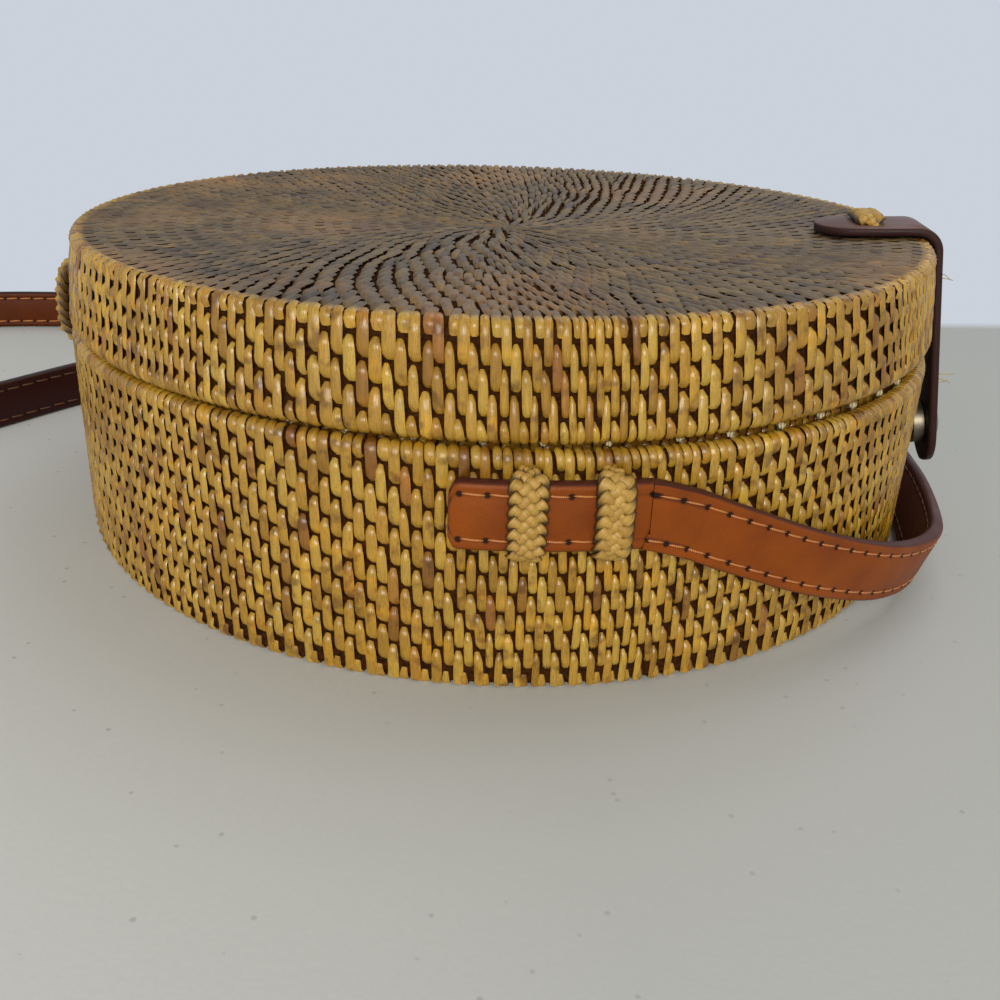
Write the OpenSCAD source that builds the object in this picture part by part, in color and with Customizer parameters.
// Round coiled-cane shoulder bag, lying on its back with the lid shut but not fastened.
// Base and lid are stiff baskets of coiled cane. Two plaited loops hinge them at -X,
// a leather tab with a press stud closes them at +X, and a stitched leather strap is
// held on the base by plaited keepers at the front and the back.
// The origin is the middle of the base's underside, and +Z is up.

/* [Base basket] */
// Outer radius over the coils at the base's rim
base_r = 100; // [90:1:115]
// Radius that the base wall loses between its rim and its foot
base_taper = 0.5; // [0:0.5:3]
// Coil rows up the base wall, rim row included
base_rows = 12; // [11:1:14]
// Rise from one coil row of the base to the next
base_rise = 3.9; // [3.85:0.05:4.4]
// Thickness of one wrapped coil of the base
coil_t = 4.2; // [4:0.1:4.6]
// Depth of the flat that the coils wear on the underside
foot_flat = 0.5; // [0.3:0.1:0.8]

/* [Lid basket] */
// Radius that the lid wall gains between its top edge and its lower edge
lid_flare = 1.75; // [1.25:0.25:4]
// Coil rows up the lid wall, rim row included
lid_rows = 5; // [5:1:6]
// Rise from one coil row of the lid to the next
lid_rise = 3.9; // [3.7:0.05:4.2]
// Thickness of one wrapped coil of the lid
lid_coil_t = 4.2; // [4:0.1:4.6]
// How far the middle of the lid sags below its edge
lid_dish = 2.5; // [0:0.5:6]
// Gap between the base's rim and the lid's rim when the lid is pressed shut
rim_gap = 0.3; // [0.3:0.1:1]
// Angle at which the unfastened lid rests above shut
lid_rest_angle = 0.9; // [0:0.1:1.5]
// Spacing of the coils across the lid's top and the base's floor
disc_pitch = 4.2; // [3.9:0.05:4.4]

/* [Collar and linings] */
// Thickness of the collar that the lid closes over
collar_t = 3; // [2:0.25:4]
// Height of the collar above the base's rim
collar_up = 5; // [3:0.5:6]
// Gap between the stud's backing and the lining's shelf above it
collar_over_stud = 0.75; // [0.5:0.25:3]
// Clearance between the collar and the lid wall
collar_clear = 0.9; // [0.7:0.1:1.5]
// Thickness of the cotton lining with its backing
lining_t = 0.8; // [0.6:0.1:1.2]

/* [Hinge loops] */
// Angle from the middle of the back to each hinge loop
hinge_spread = 17; // [12:1:18]
// Height of a hinge loop from foot to foot
hinge_span = 18; // [17:0.5:20]
// Width of a hinge loop
hinge_w = 8; // [6:0.5:10]
// How far a hinge loop stands out from the wall
hinge_out = 2.2; // [1.6:0.1:3]
// Distance from the wall to the line that the lid turns about
hinge_axis_out = 1.3; // [1:0.1:1.5]

/* [Shoulder strap] */
// Width of the strap
strap_w = 12.5; // [11:0.5:13]
// Thickness of the folded strap
strap_t = 3; // [2.5:0.1:3.2]
// Distance from the base's rim down to the strap's middle line
strap_below_rim = 10.8; // [10.4:0.1:14]
// Angle from the clasp at which a strap leaves the base wall
strap_exit_angle = 70; // [68:0.5:72]
// Length of strap that lies against the wall
strap_end_len = 34; // [30:1:40]
// Radius of the corners at the strap's tip
strap_tip_r = 2; // [1:0.5:4]

/* [Plaited keepers] */
// Width of a strap keeper
keeper_w = 8; // [6:0.5:9]
// Thickness of the plait
plait_t = 1.3; // [1:0.1:1.6]
// Height of the plait's knuckles above its grooves
knuckle_h = 0.6; // [0.3:0.1:0.8]
// Knuckles along one plait
knuckles = 7; // [5:1:9]
// Space between the strap and the inside of its keeper
keeper_clear = 0.7; // [0.6:0.1:1]
// Angle from the clasp to the keeper beside the strap's exit
keeper_exit_angle = 73.7; // [73.5:0.1:75]
// Angle from the clasp to the keeper near the strap's tip
keeper_tip_angle = 81.8; // [80:0.1:83]

/* [Closure tab] */
// Width of the tab
tab_w = 17.5; // [16:0.5:20]
// Thickness of the tab
tab_t = 2.4; // [2.2:0.1:3]
// Length of the tab that lies on the lid
tab_on_lid = 23; // [21:1:28]
// Height of the hanging tab's tip above the ground
tab_tip_up = 14; // [13.5:0.5:22]
// Gap between the tab's fold and the coil that it turns over
fold_gap = 0.4; // [0.4:0.1:0.8]
// Angle by which the loose tab stands off its fastened place
tab_ajar = 2; // [1.5:0.5:8]
// Distance from the tab's tip to the middle of its stud
snap_from_tip = 10; // [9:0.5:12]
// Length of the keeper across the tab
tab_keeper_len = 13; // [11:0.5:14]
// Distance from the tab's fold to the middle of its keeper
tab_keeper_from_fold = 7; // [5:0.5:8]
// How far the keeper sits to one side of the tab's middle
tab_keeper_aside = 1.5; // [0:0.25:2]

/* [Press stud] */
// Radius of the cap on the tab
cap_r = 6; // [5:0.25:7]
// Height of the cap's dome
cap_h = 1.8; // [1.2:0.1:2.4]
// Outer radius of the socket behind the tab
socket_r = 5.2; // [4.8:0.1:6]
// Radius of the socket's mouth
socket_bore_r = 3; // [2.8:0.1:3.2]
// Height of the socket
socket_h = 2.4; // [2:0.1:2.6]
// Thickness of the socket's closed end
socket_end_t = 0.6; // [0.4:0.1:0.8]
// Radius of the rivet that joins cap and socket
rivet_r = 1.5; // [1.2:0.1:1.8]
// Radius of the stud's head
stud_head_r = 1.7; // [1.4:0.1:1.8]
// Radius of the stud's neck
stud_neck_r = 1.2; // [1:0.1:1.3]
// Radius of the stud's flange on the wall
stud_flange_r = 5; // [4:0.25:6]
// Thickness of the stud's flange and of its backing
stud_flange_t = 0.8; // [0.6:0.1:1]

/* [Hidden] */

// Smoothness of round surfaces
$fn = 96;
// Clearance at which a piece sits on what carries it
seat = 0.3;
// Overrun that carries a cut past a surface
over = 1;
// Clearance between the hanging tab and the lid's rim when it is fastened
tab_clear = 0.4;
// Clearance left around the rivet and in front of the stud
snap_clear = 0.1;
stud_clear = 0.3;
// Straight lengths of leather at the two ends of the tab's fold
fold_top_len = 4;
fold_low_len = 2;
// Steps round the fold
fold_steps = 18;
// Height of a plait's feet above the surface that it enters
foot_h = 0.35;
// Corner radius of the strap's folded edges
strap_edge_r = 0.9;
// Height left between the collar's top and the lid lining's hem
hem_gap = 2;
// How far the hinge loops' middle lies above the base's rim
hinge_mid_up = 2;

// Share of a row's rise that each coil spans as a radius, so that rows stay joined
lap_share = 0.53;
// Roundness of a keeper's arch and of a hinge loop's arch
keeper_power = 4;
loop_power = 2.6;
// Share of its width that a plait has at its feet
foot_share = 0.45;

cane = "#b98f45";
cane_pale = "#cdb06a";
leather = "#8f4a22";
leather_dark = "#4a2c22";
cotton = "#d8cdb8";
nickel = "#b9b7b0";

// Radii of the coils: plain ones, the base wall's, the lid wall's, the floor's and the top's
coil_r = coil_t / 2;
base_coil_r = max(coil_r, lap_share * base_rise);
lid_coil_r = max(lid_coil_t / 2, lap_share * lid_rise);
floor_coil_r = max(coil_r, lap_share * disc_pitch);
top_coil_r = max(lid_coil_t / 2, lap_share * disc_pitch);

// Heights of the base's coil rows, and the outer radius over them
function base_row_z(i) = coil_r - foot_flat + i * base_rise;
base_top_z = base_row_z(base_rows - 1);
base_h = base_top_z + base_coil_r;
function base_crest(z) = base_r - base_taper * (1 - z / base_h);
base_split_z = base_top_z - base_rise / 2;

// Heights of the lid's coil rows, and the outer radius over them
lid_z = base_h + rim_gap;
function lid_row_z(i) = lid_z + lid_coil_r + i * lid_rise;
lid_edge_z = lid_row_z(lid_rows - 1);
lid_edge_r = base_r - lid_flare;
lid_wall_h = lid_edge_z - lid_row_z(0);
function lid_crest(z) = base_r - lid_flare * (z - lid_row_z(0)) / lid_wall_h;
lid_split_z = lid_row_z(0) + lid_rise / 2;
lid_ring_r = lid_edge_r - lid_coil_r;
function dish_z(r) = lid_edge_z - lid_dish * (1 - pow(r / lid_ring_r, 2));

// Line that the lid turns about
hinge_x = -(base_r + hinge_axis_out);
hinge_z = base_h + rim_gap / 2;

// Leather on the base wall
strap_z = base_h - strap_below_rim;
strap_in_r = base_crest(strap_z + strap_w / 2) + seat;
strap_mid_r = strap_in_r + strap_t / 2;
strap_end_angle = strap_end_len / strap_mid_r * 180 / PI;

// The tab's fold is centred on the coil at the lid's edge
fold_x = lid_ring_r;
fold_z = lid_edge_z;
fold_in = lid_coil_r + fold_gap;
fold_out = fold_in + tab_t;
// Angle from upright at which the fastened tab just clears the lid's rim
rim_dx = lid_flare;
rim_dz = lid_wall_h;
rim_reach = sqrt(rim_dx * rim_dx + rim_dz * rim_dz);
tab_shut_angle = atan2(rim_dx, rim_dz) - asin((fold_in - tab_clear - lid_coil_r) / rim_reach);
tab_rest_angle = tab_shut_angle + tab_ajar;
// Slope of the tab down the dish towards the lid's middle
tab_slope = atan2(dish_z(fold_x) - dish_z(fold_x - tab_on_lid), tab_on_lid);

// A place in the plane of x and height, turned up about the plane's origin
function turned(angle, p) = [p[0] * cos(angle) - p[1] * sin(angle), p[0] * sin(angle) + p[1] * cos(angle)];

// Places on the lid as it rests, turned up about the hinge
hinge = [hinge_x, hinge_z];
function at_rest(x, z) = hinge + turned(lid_rest_angle, [x, z] - hinge);
fold_rest = at_rest(fold_x, fold_z);
// Length of the tab that hangs from the fold, and the distance down it to the snap
tab_hang = (fold_rest[1] - tab_tip_up) / cos(tab_rest_angle + lid_rest_angle);
snap_down = tab_hang - snap_from_tip;
snap_angle = tab_shut_angle + lid_rest_angle;
snap_x = fold_rest[0] + fold_in * cos(snap_angle) + snap_down * sin(snap_angle);
snap_z = fold_rest[1] + fold_in * sin(snap_angle) - snap_down * cos(snap_angle);
stud_seat_x = base_crest(snap_z + stud_flange_r) + seat;
stud_top_x = snap_x - (socket_end_t + stud_clear) / cos(snap_angle)
    - stud_head_r * tan(snap_angle);
stud_h = stud_top_x - stud_seat_x;

// Collar between the baskets, and the room inside them
collar_low_z = snap_z + stud_flange_r + collar_over_stud + lining_t + seat;
collar_top_z = base_h + collar_up;
collar_low_r = base_crest(collar_low_z) - coil_r - base_coil_r - seat;
collar_top_r = lid_crest(collar_top_z) - 2 * lid_coil_r - collar_clear;
collar_in_r = collar_top_r - collar_t;
floor_top_z = base_row_z(0) + floor_coil_r;

// Route of the free strap, from the front keeper to the back one. It slopes off the
// front wall, goes round the clasp side and behind the bag, swings out past the hinge
// side and back, and turns in again to climb to the back keeper.
strap_turn = [
    [52, -89, 29], [69, -79, 20.8], [87, -65, 13.6], [100, -47, 9.3], [105, -24, 7],
    [106, 2, 6.5], [102, 30, 6.5], [91, 57, 6.5], [72, 82, 6.5], [46, 100, 6.5],
    [16, 110, 6.5], [-16, 112, 6.5], [-48, 105, 6.5], [-78, 90, 6.5], [-104, 66, 6.5],
    [-126, 36, 6.5], [-141, 9, 6.5], [-155, -16, 6.5], [-178, -33, 6.5], [-206, -35, 6.5],
    [-230, -20, 6.5], [-242, 7, 6.5], [-243, 38, 6.5], [-235, 68, 6.5], [-218, 92, 6.5],
    [-192, 107, 6.5], [-160, 115, 6.5], [-118, 124, 6.5], [-72, 132, 6.5], [-24, 137, 6.5],
    [24, 138, 6.5], [62, 137, 6.5], [91, 135, 7], [113, 127, 8.5], [123, 110, 11],
    [118, 91, 13.5], [103, 80, 17], [84, 78, 21.5], [67, 82, 26], [53, 88, 30]];
// Straight leather before the strap's first bend, and how far it drops on the way
strap_lead = 8;
strap_dip = 2.4;

exit_x = strap_mid_r * cos(strap_exit_angle);
exit_y = strap_mid_r * sin(strap_exit_angle);
lead_x = exit_x + strap_lead * sin(strap_exit_angle);
lead_y = exit_y - strap_lead * cos(strap_exit_angle);
strap_route = concat([[exit_x, -exit_y, strap_z], [lead_x, -lead_y, strap_z - strap_dip]],
    strap_turn, [[lead_x, lead_y, strap_z - strap_dip], [exit_x, exit_y, strap_z]]);
strap_steps = 2;

// A point between b and c of a smooth line through a, b, c and d
function smooth(a, b, c, d, t) = 0.5 * (2 * b + (c - a) * t
    + (2 * a - 5 * b + 4 * c - d) * t * t + (3 * b - a - 3 * c + d) * t * t * t);
function route_at(pts, i, t) = smooth(pts[max(i - 1, 0)], pts[i], pts[i + 1],
    pts[min(i + 2, len(pts) - 1)], t);
strap_last = len(strap_route) - 1;
strap_line = concat([for (i = [0:strap_last - 1], k = [0:strap_steps - 1])
    route_at(strap_route, i, k / strap_steps)], [strap_route[strap_last]]);
function unit(v) = v / norm(v);
strap_rings = len(strap_line);
exit_dir = [sin(strap_exit_angle), cos(strap_exit_angle), 0];
function strap_dir(i) = i == 0 ? exit_dir
    : i == strap_rings - 1 ? [-exit_dir[0], exit_dir[1], 0]
    : unit(strap_line[i + 1] - strap_line[i - 1]);
// Unit outline of the strap's section: width up, thickness outwards, edges rounded
strap_outline = let (w = strap_w / 2, t = strap_t / 2, e = strap_edge_r)
    [[w - e, t], [w, t - e], [w, e - t], [w - e, -t],
    [e - w, -t], [-w, e - t], [-w, t - e], [e - w, t]];
function strap_ring(i) = let (d = strap_dir(i), side = unit(cross(d, [0, 0, 1])), up = cross(side, d))
    [for (p = strap_outline) strap_line[i] + p[0] * up + p[1] * side];

// One closed solid through a list of rings with the same number of points each
module skin(rings) {
    n = len(rings[0]);
    last = (len(rings) - 1) * n;
    points = [for (ring = rings) each ring];
    sides = [for (i = [0:len(rings) - 2], j = [0:n - 1])
        let (a = i * n + j, b = i * n + (j + 1) % n) each [[a, b, b + n], [a, b + n, a + n]]];
    first_cap = [for (j = [0:n - 3]) [n - 1, j + 1, j]];
    last_cap = [for (j = [0:n - 3]) [last + n - 1, last + j, last + j + 1]];
    polyhedron(points, concat(sides, first_cap, last_cap));
}

// Two rows of knuckles at the edges of a plait and one between them, half a knuckle on
across_shares = [-1, -2 / 3, -1 / 3, 0, 1 / 3, 2 / 3, 1];
function is_groove(k) = k % 2 == 0;
function is_middle(k) = k == 3;
function knuckle(k, s) = is_groove(k) ? 0
    : knuckle_h * abs(sin(180 * (knuckles * s + (is_middle(k) ? 0.5 : 0))));

// An arch of plait: x along its width, y away from its seat, z from foot to foot. Its
// strands draw together at the feet.
module plait(width, half_in, height_in, power) {
    steps = 4 * knuckles;
    skin([for (i = [0:steps])
        let (s = i / steps, a = 180 * s,
            c = -sign(cos(a)) * pow(abs(cos(a)), 2 / power),
            d = pow(sin(a), 2 / power),
            w = width / 2 * min(1, foot_share + sin(a)))
        concat(
            [for (k = [0:6]) let (t = plait_t + knuckle(k, s))
                [across_shares[k] * w, foot_h + (height_in + t) * d, (half_in + t) * c]],
            [for (x = [w, -w]) [x, foot_h + height_in * d, half_in * c]])]);
}

// Places children on the base wall, y outwards, at an angle from the clasp
module on_wall(angle, r, z) {
    rotate([0, 0, angle - 90]) translate([0, r, z]) children();
}

// Places children on the lid as it rests
module on_lid() {
    translate([hinge_x, 0, hinge_z]) rotate([0, -lid_rest_angle, 0])
        translate([-hinge_x, 0, -hinge_z]) children();
}

// Places children about the tab's fold, turned outwards from upright
module about_fold(angle) {
    translate([fold_x, 0, fold_z]) rotate([0, -angle, 0]) children();
}

// Carries a side outline, drawn as x and height, across a width
module across(width) {
    translate([0, width / 2, 0]) rotate([90, 0, 0]) linear_extrude(width) children();
}

// Section of a coil at a radius and height
module coil(r, z, thick_r) {
    translate([r, z]) circle(thick_r);
}

// Keeps what lies right of the axis and between two heights
module kept(low, high) {
    intersection() {
        children();
        translate([0, low]) square([base_r + coil_t, high - low]);
    }
}

// Radii of a disc's coils, from the middle out to the one that laps the coil at the edge
function disc_rings(edge_r, edge_coil_r, disc_coil_r) = let (
    last_r = edge_r - (edge_coil_r + disc_coil_r) / (2 * lap_share),
    steps = round(last_r / disc_pitch))
    [for (i = [0:steps]) last_r * i / steps];

module base_basket() {
    edge_r = base_crest(base_row_z(0)) - coil_r;
    color(cane) rotate_extrude() kept(0, base_split_z) union() {
        for (i = [0:base_rows - 2]) coil(base_crest(base_row_z(i)) - coil_r, base_row_z(i), base_coil_r);
        for (r = disc_rings(edge_r, base_coil_r, floor_coil_r)) coil(r, base_row_z(0), floor_coil_r);
    }
}

module base_rim_coil() {
    color(cane) rotate_extrude() kept(base_split_z, base_h + over)
        coil(base_crest(base_top_z) - coil_r, base_top_z, base_coil_r);
}

module base_collar() {
    color(cane_pale) rotate_extrude() polygon([
        [collar_in_r, collar_low_z], [collar_low_r, collar_low_z],
        [collar_low_r, base_h - base_coil_r], [collar_top_r, collar_top_z],
        [collar_in_r, collar_top_z]]);
}

module base_lining() {
    floor_z = floor_top_z + seat;
    shelf_z = collar_low_z - seat;
    hem_z = collar_top_z - hem_gap;
    wide_r = base_crest(floor_z) - 2 * base_coil_r - seat;
    slim_r = collar_in_r - seat;
    t = lining_t;
    color(cotton) rotate_extrude() polygon([
        [0, floor_z], [wide_r, floor_z], [wide_r, shelf_z], [slim_r, shelf_z], [slim_r, hem_z],
        [slim_r - t, hem_z], [slim_r - t, shelf_z - t], [wide_r - t, shelf_z - t],
        [wide_r - t, floor_z + t], [0, floor_z + t]]);
}

module lid_basket() {
    color(cane) on_lid() rotate_extrude() kept(lid_split_z, lid_edge_z + coil_t) union() {
        for (i = [1:lid_rows - 1]) coil(lid_crest(lid_row_z(i)) - lid_coil_r, lid_row_z(i), lid_coil_r);
        for (r = disc_rings(lid_ring_r, lid_coil_r, top_coil_r)) coil(r, dish_z(r), top_coil_r);
    }
}

module lid_rim_coil() {
    color(cane) on_lid() rotate_extrude() kept(0, lid_split_z)
        coil(lid_crest(lid_row_z(0)) - lid_coil_r, lid_row_z(0), lid_coil_r);
}

module lid_lining() {
    shares = [0, 0.2, 0.4, 0.6, 0.8, 1];
    drop = top_coil_r + 2 * seat + lining_t;
    hem_z = collar_top_z + hem_gap;
    side_z = dish_z(lid_ring_r) - drop;
    function side_r(z) = lid_crest(z) - 2 * lid_coil_r - seat;
    ceiling_r = side_r(side_z + lining_t);
    function ceiling_z(s) = dish_z(s * ceiling_r) - drop;
    color(cotton) on_lid() rotate_extrude() polygon(concat(
        [for (s = shares) [s * (ceiling_r - lining_t), ceiling_z(s)]],
        [[side_r(hem_z) - lining_t, hem_z], [side_r(hem_z), hem_z]],
        [for (i = [len(shares) - 1:-1:0]) [shares[i] * ceiling_r, ceiling_z(shares[i]) + lining_t]]));
}

module hinge_loop(side) {
    mid_z = base_h + hinge_mid_up;
    lean = atan2(base_r - lid_crest(mid_z + hinge_span / 2), hinge_span);
    color(cane_pale) on_wall(180 + side * hinge_spread, base_r, mid_z - hinge_span / 2)
        rotate([lean, 0, 0]) translate([0, 0, hinge_span / 2])
        plait(hinge_w, hinge_span / 2 - plait_t, hinge_out, loop_power);
}

module hinge_loop_front() { hinge_loop(1); }

module hinge_loop_back() { hinge_loop(-1); }

// Outline of a strap end, drawn from its exit at x = 0 towards its tip
module tip_outline() {
    w = strap_w / 2;
    translate([-strap_end_len - over + strap_tip_r, -w]) square([strap_end_len + over, strap_w]);
    translate([-strap_end_len, strap_tip_r - w]) square([strap_end_len, strap_w - 2 * strap_tip_r]);
    for (s = [-1, 1]) translate([strap_tip_r - strap_end_len, s * (w - strap_tip_r)]) circle(strap_tip_r);
}

// The front strap end; the back one is its mirror image
module strap_end() {
    e = strap_edge_r;
    rotate([0, 0, -strap_exit_angle - strap_end_angle]) rotate_extrude(angle = strap_end_angle)
        translate([strap_in_r, strap_z - strap_w / 2]) union() {
            translate([e, 0]) square([strap_t - 2 * e, strap_w]);
            translate([0, e]) square([strap_t, strap_w - 2 * e]);
            for (x = [e, strap_t - e], z = [e, strap_w - e]) translate([x, z]) circle(e);
        }
}

module strap_end_front() { color(leather) strap_end(); }

module strap_end_back() { color(leather) mirror([0, 1, 0]) strap_end(); }

module shoulder_strap() {
    color(leather) skin([for (i = [0:strap_rings - 1]) strap_ring(i)]);
}

module strap_keeper(angle) {
    color(cane_pale) on_wall(angle, base_crest(strap_z), strap_z)
        plait(keeper_w, strap_w / 2 + keeper_clear, strap_in_r - base_crest(strap_z) + strap_t
            + keeper_clear - foot_h, keeper_power);
}

module keeper_front_tip() { strap_keeper(-keeper_tip_angle); }

module keeper_front_exit() { strap_keeper(-keeper_exit_angle); }

module keeper_back_tip() { strap_keeper(keeper_tip_angle); }

module keeper_back_exit() { strap_keeper(keeper_exit_angle); }

// Outline of a leather band that starts square at x = 0 and ends round
module band_outline(length) {
    intersection() {
        translate([0, -tab_w / 2]) square([length, tab_w]);
        union() {
            translate([0, -tab_w / 2]) square([length - tab_w / 2, tab_w]);
            translate([length - tab_w / 2, 0]) circle(tab_w / 2);
        }
    }
}

module tab_root() {
    color(leather_dark) on_lid() about_fold(tab_slope) translate([-fold_top_len, 0, fold_in])
        linear_extrude(tab_t) mirror([1, 0]) band_outline(tab_on_lid - fold_top_len);
}

// Line of the fold's section at a distance from its centre, from the flap up to the root
function fold_line(reach) = let (low = tab_rest_angle, top = 90 + tab_slope) concat(
    [turned(low, [reach, -fold_low_len])],
    [for (i = [0:fold_steps]) turned(low + (top - low) * i / fold_steps, [reach, 0])],
    [turned(tab_slope, [-fold_top_len, reach])]);

module tab_fold() {
    inner = fold_line(fold_in);
    color(leather_dark) on_lid() translate([fold_x, 0, fold_z]) across(tab_w)
        polygon(concat(fold_line(fold_out), [for (i = [len(inner) - 1:-1:0]) inner[i]]));
}

// Places children on the hanging tab: x outwards through the leather, z down from the fold
module on_tab() {
    on_lid() about_fold(tab_rest_angle) children();
}

module tab_flap() {
    color(leather_dark) on_tab() translate([fold_in, 0, -fold_low_len]) difference() {
        rotate([0, 90, 0]) linear_extrude(tab_t) band_outline(tab_hang - fold_low_len);
        translate([-over, 0, fold_low_len - snap_down]) rotate([0, 90, 0])
            cylinder(h = tab_t + 2 * over, r = rivet_r + snap_clear);
    }
}

module tab_keeper() {
    color(cane_pale) on_lid() about_fold(tab_slope)
        translate([-fold_top_len - tab_keeper_from_fold, tab_keeper_aside, fold_out])
        rotate([90, 0, 0])
        plait(keeper_w, tab_keeper_len / 2 - plait_t, fold_gap, keeper_power);
}

module snap_cap() {
    color(nickel) on_tab() translate([fold_out, 0, -snap_down]) rotate([0, 90, 0]) {
        rotate_extrude() {
            intersection() {
                translate([0, (cap_h * cap_h - cap_r * cap_r) / (2 * cap_h)])
                    circle((cap_h * cap_h + cap_r * cap_r) / (2 * cap_h));
                square([cap_r, cap_h]);
            }
            translate([0, -tab_t]) square([rivet_r, tab_t]);
        }
    }
}

module snap_socket() {
    color(nickel) on_tab() translate([fold_in, 0, -snap_down]) rotate([0, -90, 0]) rotate_extrude() {
        square([socket_r, socket_end_t]);
        translate([socket_bore_r, 0]) square([socket_r - socket_bore_r, socket_h]);
    }
}

module snap_stud() {
    head_h = stud_h / 3;
    color(nickel) translate([stud_seat_x, 0, snap_z]) rotate([0, 90, 0]) rotate_extrude() {
        square([stud_flange_r, stud_flange_t]);
        square([stud_neck_r, stud_h - head_h / 2]);
        translate([0, stud_h - head_h]) square([stud_head_r, head_h]);
    }
}

module snap_backing() {
    inner = base_crest(snap_z) - 2 * base_coil_r - 2 * seat - lining_t;
    face = inner - (stud_flange_r * stud_flange_r) / (2 * inner) - seat - stud_flange_t;
    color(nickel) translate([face, 0, snap_z]) rotate([0, 90, 0])
        cylinder(h = stud_flange_t, r = stud_flange_r);
}

base_basket();
base_rim_coil();
base_collar();
base_lining();
lid_basket();
lid_rim_coil();
lid_lining();
hinge_loop_front();
hinge_loop_back();
strap_end_front();
strap_end_back();
shoulder_strap();
keeper_front_tip();
keeper_front_exit();
keeper_back_tip();
keeper_back_exit();
tab_root();
tab_fold();
tab_flap();
tab_keeper();
snap_cap();
snap_socket();
snap_stud();
snap_backing();
